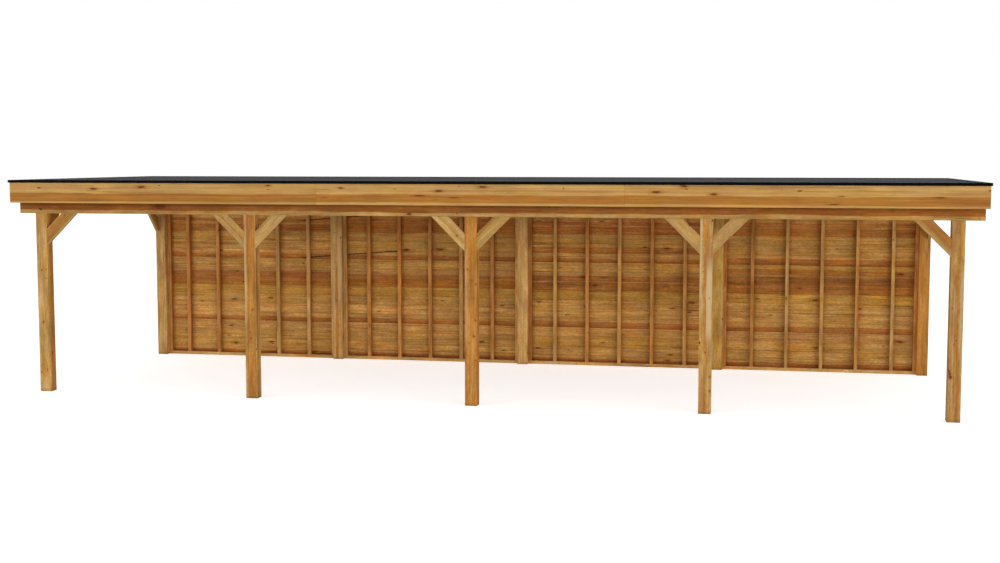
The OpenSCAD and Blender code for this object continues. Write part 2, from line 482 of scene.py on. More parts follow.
def branch_knots():
    """Branches that leave the pith, one in each stretch of the length. A branch is a straight cone from
    the pith, leaning up the stem. Its radius grows with the distance from the pith, so that a flat face
    cuts it in an oval and an upright face in a spike. Core masks the branch, Rim the bark ring about
    it, and Swell says how far the growth rings bulge round it."""
    web, given, out = new_group(
        "branch_knots", {"Place": ORIGIN, **KNOT_SIZES, "Stretch": 0.6}, KNOT_MASKS)
    x, y, z = web.split(given["Place"])
    middle, turn, size = knot_dice(web, x, given)
    place = web.join((x - middle) * given["Stretch"], y, z)
    angle = turn * (2 * math.pi)
    branch = web.vector("NORMALIZE", web.join(0.25, web.math("COSINE", angle), web.math("SINE", angle)))
    out_along = web.vector("DOT_PRODUCT", place, branch)
    beside = place - branch * out_along
    girth = web.spread(size, 0.0, 1.0, 0.35, 1.0) * web.spread(out_along, 0.0, 0.05, 0.4, 1.0)
    girth = girth * given["Size"]
    knot_masks(web, given, out, web.vector("LENGTH", beside), girth, web.spread(out_along, 0.0, 0.006))
    return web.tree


def face_knots():
    """Branches that pass straight through a board, one in each stretch of its length. Each is an oval,
    Stretch times as high as it is long, about a point within Reach of the line z = Centre."""
    web, given, out = new_group(
        "face_knots", {"Place": ORIGIN, **KNOT_SIZES, "Stretch": 0.35, "Centre": 0.0, "Reach": 0.04},
        KNOT_MASKS)
    x, _, z = web.split(given["Place"])
    middle, turn, size = knot_dice(web, x, given)
    ahead = (x - middle) * given["Stretch"]
    height = (turn * 2.0 - 1.0) * given["Reach"]
    above = z - (height + given["Centre"]) - ahead * (size - 0.5)
    girth = web.spread(size, 0.0, 1.0, 0.3, 1.0) * given["Size"]
    knot_masks(web, given, out, web.vector("LENGTH", web.join(ahead, above)), girth, 1.0)
    return web.tree


def knot_dice(web, x, given):
    """One throw for each stretch of the length: the place of the knot's middle, and two values from 0
    to 1."""
    offset = given["Seed"] * 0.37
    cell = web.math("FLOOR", x / given["Spacing"] + offset)
    dice = web.make("ShaderNodeTexWhiteNoise", "Color", {"Vector": web.join(cell, given["Seed"], 3.7)},
                    noise_dimensions="3D")
    where, turn, size = web.split(dice)
    middle = cell + (where * 0.7 + 0.15) - offset
    return middle * given["Spacing"], turn, size


def knot_masks(web, given, out, distance, girth, grown):
    """Core, bark ring and swell of a knot from the distance to its middle and its radius there."""
    ragged = (web.noise(given["Place"], 90.0, 2.0) - 0.5) * 0.5
    ratio = distance / web.math("MAXIMUM", girth, 0.0001) + ragged
    core = web.spread(ratio, 1.12, 0.75, smooth=True)
    rim = web.spread(1.0 - abs(ratio - 1.0), 0.60, 0.95)
    swell = web.spread(ratio, 3.6, 0.7, smooth=True)
    web.fill(out, {"Core": core * grown, "Rim": rim * grown, "Swell": swell * grown * girth})


RING_PITCH = 0.0042


def wood_group(branches, ovals):
    """Softwood as a solid stem, so that every face of a timber agrees. Grain is the place in the piece,
    in metres, with x along the stem. Distance from the pith, bent by slow noise and by the knots,
    drives broad colour bands and fine growth rings. Heartwood lies inside Heart Radius. Streaks, fibres
    and drying checks run along the stem. Cast runs from pinkish brown (-1) to gold (1), Drift lets it
    wander, Blush adds warm patches, Clouds sets how far the tone wanders, Variety and Mottle break up
    the streaks with flecks. End darkens sawn ends, Arris lightens worn edges and paints a highlight on
    the edge under an open joint, and the shade input browns and darkens the colour with shade painted
    into corners, joints and hollows."""
    web, given, out = new_group(
        "softwood",
        {"Grain": ORIGIN, "Seed": 0.0, "Heart Radius": 0.04, "Tone": 1.0,
         "Pith": ORIGIN, "Pith Spread": 0.03,
         "Sap": BLACK, "Sap Late": BLACK, "Heart": BLACK, "Heart Late": BLACK, "Knot": BLACK,
         "Knot Size": 0.012, "Knot Spacing": 0.5, "Pin Knot Size": 0.005,
         "Oval Size": 0.0, "Oval Spacing": 0.7, "Oval Centre": 0.0, "Oval Reach": 0.04,
         "Band Width": 0.03, "Streaks": 42.0, "Lines": 0.2,
         "Blush": 0.3, "Drift": 0.45, "Variety": 0.4, "Cast": 0.0, "Clouds": 1.0, "Mottle": 0.08,
         "Checks": 0.3, "Arris": 0.0, "End": 0.0, "Painted Shade": 0.0},
        ("Color", "Roughness", "Height"))
    seed, grain = given["Seed"], given["Grain"]
    dice = web.make("ShaderNodeTexWhiteNoise", "Color", {"W": seed}, noise_dimensions="1D")
    own = (dice + (1.0, 2.0, 3.0)) * 7.0

    def stretched(along, across, detail, roughness=0.5, output=0):
        """Noise with so many cells a metre along and across the stem, other in each timber."""
        return web.noise(grain * (along, across, across) + own, 1.0, detail, roughness, output)

    # the pith lies a little aside in each timber, and wanders slowly along it
    x = web.split(grain)[0]
    push = (dice - HALF) * given["Pith Spread"]
    slow = (web.noise(web.join(x * 0.8) + own, 1.0, 2.0, 0.5, output=1) - HALF) * 0.04
    place = grain - given["Pith"] - (push + slow) * (0.0, 1.0, 1.0)
    knots = []
    for size, share, stretch in (("Knot Size", 1.0, 0.45), ("Pin Knot Size", 0.43, 0.7)):
        sockets = {"Place": place, "Seed": seed + share * 11, "Size": given[size],
                   "Spacing": given["Knot Spacing"] * share, "Stretch": stretch}
        knots.append(web.outputs(web.add("ShaderNodeGroup", sockets, node_tree=branches)))
    sockets = {label: given["Oval " + label] for label in ("Size", "Spacing", "Centre", "Reach")}
    sockets.update({"Place": grain, "Seed": seed + 5.0})
    knots.append(web.outputs(web.add("ShaderNodeGroup", sockets, node_tree=ovals)))
    core, rim, swell = knots[0].values()
    for more in knots[1:]:
        core = web.math("MAXIMUM", core, more["Core"])
        rim = web.math("MAXIMUM", rim, more["Rim"])
        swell = swell + more["Swell"]
    _, py, pz = web.split(place)
    bend = stretched(1.6, 12.0, 3.0, 0.55) - 0.5
    radius = web.vector("LENGTH", web.join(0.0, py, pz)) + bend * 0.016 - swell
    # broad bands, from one ring zone to the next, and streaks along the stem
    band = web.noise(web.join(radius / given["Band Width"], x * 0.3, seed), 1.0, 4.0, 0.62)
    streak_scale = web.join(0.9, given["Streaks"], given["Streaks"])
    streak = web.noise(grain * streak_scale + own, 1.0, 4.0, 0.6)
    late = web.spread(band * 0.5 + streak * 0.5, 0.36, 0.66)
    # growth rings, dark towards the outside of each
    ring = web.math("POWER", web.math("FRACT", radius / RING_PITCH + band * 2.0), 3.0)
    fibre = web.noise(grain * (9.0, 330.0, 330.0), 1.0, 3.0, 0.6)
    late = web.math("ADD", late * 0.8, ring * 0.22, clamp=True)
    heart = radius + (streak - 0.5) * 0.03 - given["Heart Radius"]
    heart = web.spread(heart, 0.005, -0.005, smooth=True)
    color = web.mix(heart, web.mix(late, given["Sap"], given["Sap Late"]),
                    web.mix(late, given["Heart"], given["Heart Late"]))
    # slow patches along the piece: a warm hue, a cast between pinkish brown and gold, and clouds of tone
    warm, drift, cloud = web.split(stretched(2.3, 9.0, 3.0, 0.55, output=1))
    color = web.tint(color, web.spread(warm, 0.48, 0.66, smooth=True) * given["Blush"], WARM)
    cast = web.spread(drift, 0.36, 0.64, -1.0, 1.0) * given["Drift"] + given["Cast"]
    color = web.tint(color, web.spread(cast, 0.0, 1.0), GOLDEN)
    color = web.tint(color, web.spread(cast, 0.0, -1.0), PINKISH)
    fleck = stretched(4.5, 24.0, 3.0, 0.6)
    color = web.tint(color, web.spread(fleck, 0.50, 0.66) * given["Variety"], PALER)
    color = web.tint(color, web.spread(fleck, 0.50, 0.34) * given["Variety"], DEEPER)
    tone = (web.spread(cloud, 0.32, 0.68, -0.23, 0.19) * given["Clouds"] + 1.0) * given["Tone"]
    tone = tone * web.spread(fibre, 0.25, 0.75, 0.9, 1.08)
    # short soft flecks, which break up the streaks, and thin dark lines
    mottle = web.spread(stretched(24.0, 60.0, 2.0, 0.6), 0.34, 0.66, -1.0, 1.0)
    tone = tone * (1.0 + mottle * given["Mottle"])
    line = web.spread(abs(stretched(0.45, 30.0, 1.5, 0.4) - 0.5), 0.026, 0.006)
    tone = tone * (1.0 - line * given["Lines"])
    # drying checks: thin lines where a stretched noise crosses one value, in patches
    check = web.spread(abs(stretched(0.55, 17.0, 1.0) - 0.52), 0.012, 0.003)
    check = check * web.spread(stretched(1.1, 4.0, 1.0), 0.57, 0.63) * given["Checks"]
    tone = tone * (1.0 - check)
    tone = tone * web.spread(given["End"], 0.0, 1.0, 1.0, 0.62)
    tone = tone * web.spread(given["Arris"], 0.0, 1.0, 1.0, 1.15)
    color = web.mix(rim * 0.5, color, given["Knot"])
    color = web.mix(core * 0.88, color, given["Knot"]) * tone
    # painted shade: browns and darkens the colour as much as the shade input says
    shade_amount = given["Painted Shade"] * web.spread(cloud, 0.3, 0.7, 1.0, 0.7)
    web.fill(out, {"Color": web.tint(color, shade_amount, SHADE_TINT),
                   "Roughness": late * -0.08 + 0.68 - core * 0.12,
                   "Height": fibre * 0.35 + ring * 0.25 - check * 2.0 + core * 0.4})
    return web.tree


WOOD = wood_group(branch_knots(), face_knots())

# Wood colours: sapwood and heartwood, each with its late-wood band, then knots, checks and pale streaks
SAP = shade(210, 171, 105)
SAP_LATE = shade(178, 132, 70)
HEART = shade(198, 140, 66)
HEART_LATE = shade(166, 107, 48)
RED_HEART = shade(179, 115, 48)
RED_HEART_LATE = shade(137, 80, 29)
BOARD_SAP = shade(213, 167, 93)
BOARD_SAP_LATE = shade(170, 119, 58)
BOARD_HEART = shade(193, 130, 64)
BOARD_HEART_LATE = shade(149, 89, 39)
KNOT = shade(92, 48, 14)
CHECK_DARK = shade(64, 34, 14)
PALE_STREAK = shade(212, 184, 136)
WOOD_BUMP = 0.5
FIBRE_DEPTH = 0.0008
WOOD_SPECULAR = 0.12


def new_material(name):
    """A material with an empty Principled shader. Returns the material, its nodes and the shader."""
    material = bpy.data.materials.new(name)
    material.use_nodes = True
    return material, Nodes(material.node_tree), material.node_tree.nodes["Principled BSDF"]


def finish_shader(web, shader, color, rough, height, strength, depth, specular):
    """Feeds a Principled shader, with a bump of the given strength and depth in metres."""
    bump = web.make("ShaderNodeBump", 0, {"Strength": strength, "Distance": depth, "Height": height})
    web.fill(shader, {"Base Color": color, "Roughness": rough, "Normal": bump,
                      "Specular IOR Level": specular})


def wood(name, over=None, grain=None, seed=None, heart=None, tone=None, **finish):
    """A wood finish. For a CAD timber, grain is a function of the material's nodes, and seed, heart and
    tone are functions or plain values. A piece made by Stack needs none of them: its attributes are
    read. over changes the colour, and finish sets inputs of the softwood group."""
    material, web, shader = new_material(name)
    group = web.add("ShaderNodeGroup", node_tree=WOOD)
    sources = {"Arris": chamfer_mask}
    if grain is None:
        grain = web.attribute("grain", "Vector")
        seed, heart, tone = web.split(web.attribute("timber", "Vector"))
        # worn edges with painted highlights, sawn ends, painted shade and hue, read from the piece's
        # attributes
        sources = {"Arris": web.attribute("arris"), "End": web.attribute("end_grain"),
                   "Painted Shade": web.attribute("painted_shade"), "Cast": web.attribute("cast")}
    colours = {"Sap": SAP, "Sap Late": SAP_LATE, "Heart": HEART, "Heart Late": HEART_LATE, "Knot": KNOT}
    sources.update({"Grain": grain, "Seed": seed, "Heart Radius": heart, "Tone": tone})
    for label, value in {**colours, **finish, **sources}.items():
        web.feed(group.inputs[label.replace("_", " ")], value(web) if callable(value) else value)
    made = web.outputs(group)
    color = over(web, made["Color"]) if over else made["Color"]
    finish_shader(web, shader, color, made["Roughness"], made["Height"],
                  WOOD_BUMP, FIBRE_DEPTH, WOOD_SPECULAR)
    return material


# Turns that bring a timber's own length on to the x axis of the grain
ALONG_X = Matrix.Identity(3)
ALONG_Y = Matrix(((0, 1, 0), (-1, 0, 0), (0, 0, 1)))
ALONG_Z = Matrix(((0, 0, 1), (1, 0, 0), (0, 1, 0)))


def node_grain(name, turn):
    """The grain's place on a CAD timber: its box's middle moved to the origin, its length turned to x."""
    low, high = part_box(name)
    moves = {"Location": -(turn @ ((low + high) / 2)), "Rotation": turn.to_euler()}
    return lambda web: web.make("ShaderNodeMapping", 0, {"Vector": web.position(), **moves})


def chamfer_mask(web):
    """1 on the cut edges of a CAD timber, whose faces otherwise all look along an axis."""
    nx, ny, nz = web.split(abs(web.make("ShaderNodeTexCoord", "Normal")))
    largest = web.math("MAXIMUM", nx, web.math("MAXIMUM", ny, nz))
    return web.spread(largest, 0.95, 0.8)


def knot_spots(web, color, place, knots, where, squash):
    """Knots at chosen places of a face: each an oval dark spot in a reddish cloud that runs out along
    the grain. place has the face's own x and z; squash says how fast the distance to a knot grows along
    both."""
    ragged = web.noise(place * (14.0 * squash[0], 1.0, 17.0 * squash[1]), 1.0, 3.0, 0.6)
    nearest = 9.0      # further than any mark reaches
    for x, z, half in knots:
        away = web.vector("LENGTH", (place - (x, 0.0, z)) * (squash[0] / half, 0.0, squash[1] / half))
        nearest = web.math("MINIMUM", nearest, away)
    nearest = nearest + (ragged - 0.5) * 1.5
    cloud = web.spread(nearest, 2.4, 0.8, 0.0, 0.6, smooth=True) * where
    color = web.tint(color, cloud, KNOT_CLOUD)
    core = web.spread(nearest, 1.1, 0.5, 0.0, 0.85, smooth=True) * where
    return web.mix(core, color, KNOT)


def face_marks(front, knots, squash, dashes=()):
    """Knots and thin dark dashes on the face of a long timber that lies in the plane y = front."""
    def mark(web, color):
        x, y, z = web.split(web.position())
        place = web.join(x, 0.0, z)
        here = web.math("LESS_THAN", y, front + FACE_DEPTH)
        color = knot_spots(web, color, place, knots, here, squash)
        return knot_spots(web, color, place, dashes, here, (1.0, 9.0)) if dashes else color

    return mark


def dress(name, material):
    """Gives a CAD node its finish."""
    node = NODE[name]
    node.data.materials.clear()
    node.data.materials.append(material)


# -------------------- posts, beams, rafters

# Each post: seed, heart radius, tone, cast, blush, and where its pith lies in the section (x, y)
POST_TIMBER = {
    "front_post_1": (1.3, 0.070, 0.96, 0.1, 0.5, 0.030, 0.035),
    "front_post_2": (2.7, 0.066, 0.95, 0.1, 0.2, 0.014, -0.030),
    "front_post_3": (3.1, 0.130, 1.02, 0.2, 0.5, -0.010, 0.010),
    "front_post_4": (4.9, 0.048, 1.00, 0.0, 0.15, 0.000, -0.035),
    "front_post_5": (5.6, 0.090, 0.90, -0.1, 0.5, 0.020, 0.015),
    "rear_post_1": (6.2, 0.060, 1.00, -0.1, 0.3, 0.020, 0.030),
    "rear_post_2": (7.4, 0.036, 1.08, -0.1, 0.1, -0.010, -0.035),
    "rear_post_3": (8.8, 0.020, 1.34, -0.1, 0.0, 0.060, 0.040),
    "rear_post_4": (9.5, 0.070, 0.98, 0.9, 0.5, 0.040, 0.045),
    "rear_post_5": (10.1, 0.120, 1.06, 0.3, 0.5, 0.000, 0.010),
}
# Knots on the front faces of the posts: the place across the face and up it, and the half length
POST_KNOTS = {
    "front_post_1": [(-0.009, 1.539, 0.012), (0.050, 1.546, 0.009), (0.046, 1.433, 0.009),
                     (-0.002, 0.882, 0.014), (-0.047, 0.245, 0.011), (0.033, 0.279, 0.009)],
    "front_post_2": [(0.026, 1.098, 0.011), (0.002, 0.741, 0.009)],
    "front_post_3": [(-0.037, 1.631, 0.011), (0.017, 1.499, 0.009), (0.062, 1.453, 0.011),
                     (0.060, 1.025, 0.011), (0.040, 0.834, 0.013), (0.056, 0.548, 0.010)],
    "front_post_4": [(0.039, 1.339, 0.008), (0.001, 0.715, 0.009), (0.055, 0.430, 0.012),
                     (0.058, 0.270, 0.013)],
    "front_post_5": [(-0.060, 0.575, 0.016), (-0.053, 0.545, 0.021), (-0.044, 0.512, 0.024),
                     (0.006, 0.923, 0.008), (-0.048, 1.279, 0.009)],
}
# Pale streaks there: middle and half width across the face, lower and upper end, strength
POST_STREAKS = {
    "front_post_1": [(-0.030, 0.020, 0.95, 1.60, 0.35)],
    "front_post_2": [(-0.062, 0.012, 0.80, 2.10, 0.50)],
    "front_post_3": [(-0.055, 0.014, 0.60, 2.00, 0.35), (0.020, 0.010, 0.10, 0.90, 0.25)],
    "front_post_4": [(0.036, 0.030, 0.75, 1.84, 0.80), (-0.062, 0.016, 1.20, 2.40, 0.65),
                     (0.030, 0.020, 0.10, 0.60, 0.35)],
    "front_post_5": [(0.050, 0.016, 0.60, 1.80, 0.35)],
    "rear_post_2": [(0.034, 0.022, 0.70, 1.85, 0.60), (-0.056, 0.018, 0.05, 2.20, 0.35)],
}
FOOT_DARKENING = 0.05       # height to which a post's foot is darker


def post_marks(name):
    """Marks of one post: its foot, darker towards the floor, and the pale streaks and knots of its front
    face.
    """
    low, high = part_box(name)
    middle = (low.x + high.x) / 2

    def mark(web, color):
        x, y, z = web.split(web.position())
        across = x - middle
        place = web.join(across, 0.0, z)
        front = web.math("LESS_THAN", y, low.y + FACE_DEPTH)
        wander = (web.noise(place * (30.0, 1.0, 2.5), 1.0, 3.0, 0.6) - 0.5) * 0.05
        for centre, half, start, end, strength in POST_STREAKS.get(name, ()):
            away = abs(across + wander - centre)
            streak = web.spread(away, half + 0.006, half - 0.006, 0.0, strength, smooth=True)
            streak = streak * web.spread(z, start, start + 0.25, smooth=True)
            streak = streak * web.spread(z, end, end - 0.25, smooth=True)
            color = web.mix(streak * front, color, PALE_STREAK)
        if name in POST_KNOTS:
            color = knot_spots(web, color, place, POST_KNOTS[name], front, (1.3, 1.0))
        return color * web.spread(z, 0.0, FOOT_DARKENING, 0.72, 1.0, smooth=True)

    return mark


for name, (seed, heart, tone, cast, blush, px, py) in POST_TIMBER.items():
    finish = wood(name, post_marks(name), node_grain(name, ALONG_Z), seed, heart, tone,
                  Pith=(0.0, px, py), Pith_Spread=0.01, Knot_Spacing=0.75, Pin_Knot_Size=0.006,
                  Knot_Size=0.008 if name in POST_KNOTS else 0.012, Band_Width=0.026, Checks=0.5,
                  Blush=blush, Drift=0.6, Variety=0.8, Mottle=0.11, Cast=cast)
    dress(name, finish)

# The beams: heartwood above, a strip of pale sapwood along the lower edge
BEAM_FINISH = dict(Pith=(0.0, 0.0, 0.028), Pith_Spread=0.0, Heart=RED_HEART, Heart_Late=RED_HEART_LATE,
                   Knot_Size=0.010, Knot_Spacing=1.3, Pin_Knot_Size=0.004, Band_Width=0.03, Checks=0.4)
BEAM_SPOTS = face_marks(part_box("front_post_1")[0].y, [(-3.903, 2.346, 0.090), (-0.746, 2.276, 0.040)],
                        (1.0, 2.6))


def beam_tone(web):
    """A long beam's tone: a little darker towards its left end."""
    return web.spread(web.split(web.position())[0], -4.6, -2.6, 0.85, 0.95)


def beam_marks(web, color):
    """A long beam's knots, and a warmer hue towards both of its ends."""
    warm = web.spread(abs(web.split(web.position())[0]), 1.5, 4.0)
    return BEAM_SPOTS(web, web.tint(color, warm, BEAM_END))


for name, seed in (("front_beam", 21.3), ("rear_beam", 22.9)):
    finish = wood(name, beam_marks, node_grain(name, ALONG_X), seed, 0.088, beam_tone, Variety=0.7,
                  **BEAM_FINISH)
    dress(name, finish)
for name, seed in (("left_beam", 23.5), ("right_beam", 24.1)):
    finish = wood(name, None, node_grain(name, ALONG_Y), seed, 0.08, 0.95, **BEAM_FINISH)
    dress(name, finish)

RAFTER_LOW, RAFTER_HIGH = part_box("rafters")
RAFTER_STEP = (RAFTER_HIGH.x - RAFTER_LOW.x - RAFTER_THICKNESS) / (RAFTERS - 1)
RAFTER_X = [RAFTER_LOW.x + RAFTER_THICKNESS / 2 + k * RAFTER_STEP for k in range(RAFTERS)]


def rafter_number(web):
    """The number of the nearest rafter, from 0 at the left."""
    return web.math("ROUND", (web.split(web.position())[0] - RAFTER_X[0]) / RAFTER_STEP)


def rafter_grain(web):
    """Each rafter has its own middle: x is measured from the nearest rafter's centre line."""
    x, y, z = web.split(web.position())
    centre = rafter_number(web) * RAFTER_STEP + RAFTER_X[0]
    return web.join(y, x - centre, z - (RAFTER_LOW.z + RAFTER_HIGH.z) / 2)


def rafter_seed(web):
    return rafter_number(web) * 1.7 + 30.0


dress("rafters", wood("rafter_timber", None, rafter_grain, rafter_seed, 0.03, 1.0, Pith=(0.0, 0.03, 0.0),
                      Pith_Spread=0.08, Knot_Size=0.013, Knot_Spacing=0.7, Pin_Knot_Size=0.005,
                      Band_Width=0.03, Checks=0.4))


# -------------------- knee braces

# Each brace: heart radius, tone and cast
BRACE_TIMBER = {
    "brace_1_right": (0.060, 0.92, 0.1),
    "brace_2_left": (0.020, 0.86, 0.0),
    "brace_2_right": (0.020, 0.93, 0.0),
    "brace_3_left": (0.000, 1.06, -0.1),
    "brace_3_right": (0.020, 0.86, 0.4),
    "brace_4_left": (0.020, 0.93, 0.1),
    "brace_4_right": (0.020, 0.88, -0.1),
    "brace_5_left": (0.080, 0.90, 0.1),
    "side_brace_front_left": (0.200, 1.00, 0.2),
}
PLAIN_BRACE = (0.020, 0.92, 0.0)    # the same values for the other braces
BRACE_FINISH = wood("brace_timber", Pith=(0.0, 0.03, 0.02), Pith_Spread=0.10, Knot_Size=0.010,
                    Knot_Spacing=0.5, Pin_Knot_Size=0.004, Band_Width=0.024, Checks=0.2,
                    Blush=0.1, Drift=0.4, Variety=0.7, Mottle=0.12)


def brace(name, outward, seed):
    """One brace: its middle line leaves the post's face below the beam and meets the beam's underside,
    at 45 degrees. outward is the level direction from the post, and both ends are mitred on to post and
    beam."""
    low, high = box_corners(name)
    seat = BRACE_WIDTH / math.sqrt(2)
    foot = np.where(outward > 0, low, high)
    foot = np.where(outward == 0, (low + high) / 2, foot)
    foot[2] = low[2] + seat
    along = outward + Z
    up = Z - outward
    reach = (high[2] - foot[2]) * math.sqrt(2)
    timber = (seed, *BRACE_TIMBER.get(name, PLAIN_BRACE))
    stack = Stack()
    stack.carry(arris_section(BRACE_THICKNESS, BRACE_WIDTH), foot, along, up, reach, timber, (1.0, -1.0))
    stack.piece(name.replace("brace", "knee_brace"), BRACE_FINISH, "brace_timber", [name])


BRACE_SEED = 40.0
for i in BAYS:
    brace(f"brace_{i}_right", X, BRACE_SEED + i * 2.3)
    brace(f"brace_{i + 1}_left", -X, BRACE_SEED + i * 3.1)
for side, front_seed, rear_seed in (("left", 51.6, 57.2), ("right", 54.5, 61.5)):
    brace(f"side_brace_front_{side}", Y, front_seed)
    brace(f"side_brace_rear_{side}", -Y, rear_seed)


# -------------------- rear wall: studs and boards

# The clear stretch between the rear posts of each bay, from its left to its right
POST_GAP = [(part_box(f"rear_post_{i}")[1].x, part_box(f"rear_post_{i + 1}")[0].x) for i in BAYS]
INNER_STUDS = 5
END_STUD_PITCH = 0.470     # from stud to stud in the two end bays
MID_STUD_PITCH = 0.459     # and in the other two
END_STUD_SHIFT = 0.035     # how far the inner studs of an end bay stand nearer to the veranda's end
STUD_FINISH = wood("stud_timber", Pith=(0.0, 0.01, 0.03), Pith_Spread=0.06, Knot_Size=0.010,
                   Knot_Spacing=0.5, Pin_Knot_Size=0.005, Band_Width=0.02, Checks=0.3, Variety=1.0,
                   Mottle=0.12, Heart=shade(200, 144, 76), Heart_Late=shade(169, 113, 56))

# Each stud of a bay, from left to right: heart radius, tone and cast
STUD_TIMBER = {
    1: [(0.060, 1.22, 0.0), (0.120, 1.24, -0.2), (0.120, 1.10, -0.1), (0.0, 1.07, 0.0),
        (0.015, 1.12, 0.1), (0.0, 1.22, -0.2), (0.0, 1.62, -0.1)],
    2: [(0.015, 1.30, -0.1), (0.120, 1.22, 0.0), (0.120, 1.28, -0.1), (0.060, 1.12, 0.1),
        (0.020, 1.12, 0.0), (0.120, 1.24, -0.2), (0.015, 1.42, 0.1)],
    3: [(0.120, 1.18, -0.3), (0.015, 1.14, 0.0), (0.120, 1.22, -0.1), (0.0, 1.34, -0.2),
        (0.120, 1.30, 0.0), (0.050, 1.12, 0.0), (0.0, 1.10, -0.3)],
    4: [(0.120, 1.38, -0.1), (0.120, 1.06, 0.0), (0.0, 1.08, 0.0), (0.0, 1.26, 0.0),
        (0.085, 1.20, 0.0), (0.060, 1.10, 0.1), (0.120, 1.36, 0.1)],
}


def stud_places(bay):
    """Centre lines of the seven studs of a bay, from left to right."""
    left, right = POST_GAP[bay - 1]
    outward = {1: -1, 4: 1}.get(bay, 0)
    pitch = END_STUD_PITCH if outward else MID_STUD_PITCH
    middle = (left + right) / 2 + outward * END_STUD_SHIFT
    inner = [middle + (k - INNER_STUDS // 2) * pitch for k in range(INNER_STUDS)]
    return [left + STUD_WIDTH / 2, *inner, right - STUD_WIDTH / 2]


def wall_frame(bay):
    """The sill, the head and the seven studs of one bay, as one piece. Each plate has shade painted
    along its upper rear edge, and each stud on its rear corners, both against the boards, and faintly
    in front."""
    left, right = POST_GAP[bay - 1]
    low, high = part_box(f"wall_frame_{bay}")
    y = (low.y + high.y) / 2
    rng = np.random.default_rng(FRAME_DRAWS + bay)
    # painted shade along each plate's upper rear edge and on the studs' rear corners, against the boards,
    # and faintly on their front corners
    plate = shade_corners(arris_section(STUD_DEPTH, STUD_WIDTH), np.array([1.0, 1.0]), 0.5)
    upright = arris_section(STUD_WIDTH, STUD_DEPTH)
    upright = (*upright[:2], np.where(upright[0][:, 1] > 0, 1.0, 0.25 * (upright[1] == 0)))
    height = high.z - low.z - 2 * STUD_WIDTH
    stack = Stack()
    for z, heart in ((low.z + STUD_WIDTH / 2, 0.0), (high.z - STUD_WIDTH / 2, 0.02)):
        timber = (60 + bay * 3.3 + z, heart, 1.20, -0.10)
        stack.carry(plate, np.array([left, y, z]), X, Z, right - left, timber)
    for x, kind in zip(stud_places(bay), STUD_TIMBER[bay]):
        timber = (rng.uniform(0, 90), *kind)
        stack.carry(upright, np.array([x, y, low.z + STUD_WIDTH]), Z, Y, height, timber)
    stack.piece(f"wall_studs_{bay}", STUD_FINISH, "stud_timber", [f"wall_frame_{bay}"])


# Each board from the lowest row up: heart radius, tone, and cast from pinkish brown (-1) to gold (1)
ROWS = [(0.065, 1.04, -0.2), (0.0, 1.05, 0.0), (0.0, 1.03, 0.3), (0.0, 1.12, -0.2), (0.050, 1.10, 0.0),
        (0.0, 1.16, 0.1), (0.0, 1.04, 0.2), (0.0, 0.98, 0.9), (0.110, 0.93, 0.45), (0.040, 0.95, -0.4),
        (0.0, 1.02, 0.3), (0.050, 1.10, -0.1), (0.0, 1.08, 0.0), (0.0, 1.08, 0.3), (0.085, 1.15, 0.1),
        (0.035, 1.34, -0.2), (0.0, 1.05, 0.0), (0.0, 1.05, 0.2)]
# Single boards that differ from their row, by bay and row: more heart radius, tone and cast
OWN_BOARD = {
    (1, 5): (-0.05, 0.10, -0.3), (1, 11): (0.0, 0.12, 0.0),
    (2, 3): (0.0, 0.14, 0.0), (2, 8): (0.0, 0.03, 0.4), (2, 9): (-0.02, 0.12, 0.2),
    (2, 12): (0.0, 0.0, 0.4), (2, 14): (0.02, 0.0, 0.4),
    (3, 7): (0.0, -0.16, 0.0), (3, 9): (0.02, 0.0, 0.2), (3, 12): (0.05, 0.05, 0.0),
    (3, 14): (-0.02, 0.24, -0.4), (3, 15): (0.0, 0.14, -0.2),
    (4, 9): (0.05, -0.16, 0.3), (4, 10): (0.05, -0.02, 0.2),
}
# Two drying checks that run aslant over a few boards: where each starts and ends in the plane of the wall
LONG_CHECKS = (((-3.38, 1.470), (-1.76, 1.598)), ((-3.38, 2.020), (-2.16, 2.118)))
# Knots of the wall's inner face: the place along the wall and up it, and the half length
WALL_KNOTS = [(-4.92, 0.80, 0.026), (-4.40, 0.842, 0.045), (-3.83, 0.872, 0.050), (-4.50, 0.292, 0.026),
              (-4.39, 0.182, 0.048), (-3.83, 0.212, 0.046), (-2.16, 0.702, 0.030), (-1.74, 1.610, 0.060),
              (-1.24, 1.622, 0.070), (-1.42, 0.872, 0.024), (-0.32, 0.822, 0.034), (-0.30, 0.172, 0.040),
              (0.20, 0.888, 0.042), (0.20, 0.222, 0.040), (0.86, 1.250, 0.055), (1.14, 0.322, 0.030),
              (2.03, 1.678, 0.050), (2.12, 0.832, 0.040), (2.39, 0.918, 0.050), (2.36, 0.782, 0.030),
              (2.10, 0.172, 0.038), (2.06, 0.092, 0.044), (3.47, 0.766, 0.030), (4.08, 0.986, 0.045),
              (4.10, 0.322, 0.040), (5.20, 1.362, 0.055), (5.21, 0.432, 0.055)]
WALL_INNER_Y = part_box("wall_boards_1")[0].y


def wall_marks(web, color):
    """Marks of the wall's inner face, by their place on it: the knots, and the two long checks, each a
    line that wanders a little and tapers off at both ends."""
    x, y, z = web.split(web.position())
    place = web.join(x, 0.0, z)
    ragged = web.noise(place * (14.0, 1.0, 60.0), 1.0, 3.0, 0.6)
    inside = web.math("LESS_THAN", y, WALL_INNER_Y + WALL_FACE_DEPTH)
    color = knot_spots(web, color, place, WALL_KNOTS, inside, (1.0, 3.4))
    for (start, low), (end, high) in LONG_CHECKS:
        run = web.spread(x, start, end)
        line = web.spread(run, 0.0, 1.0, low, high) + (ragged - 0.5) * 0.012
        crack = web.math("SUBTRACT", 1.0, abs(z - line) / (ragged * 0.020 + 0.002), clamp=True)
        ends = web.spread(web.math("PINGPONG", run, 0.5), 0.0, 0.06)
        crack = web.spread(crack, 0.0, 0.5) * (ends * inside)
        color = web.mix(crack * 0.85, color, CHECK_DARK)
    return color


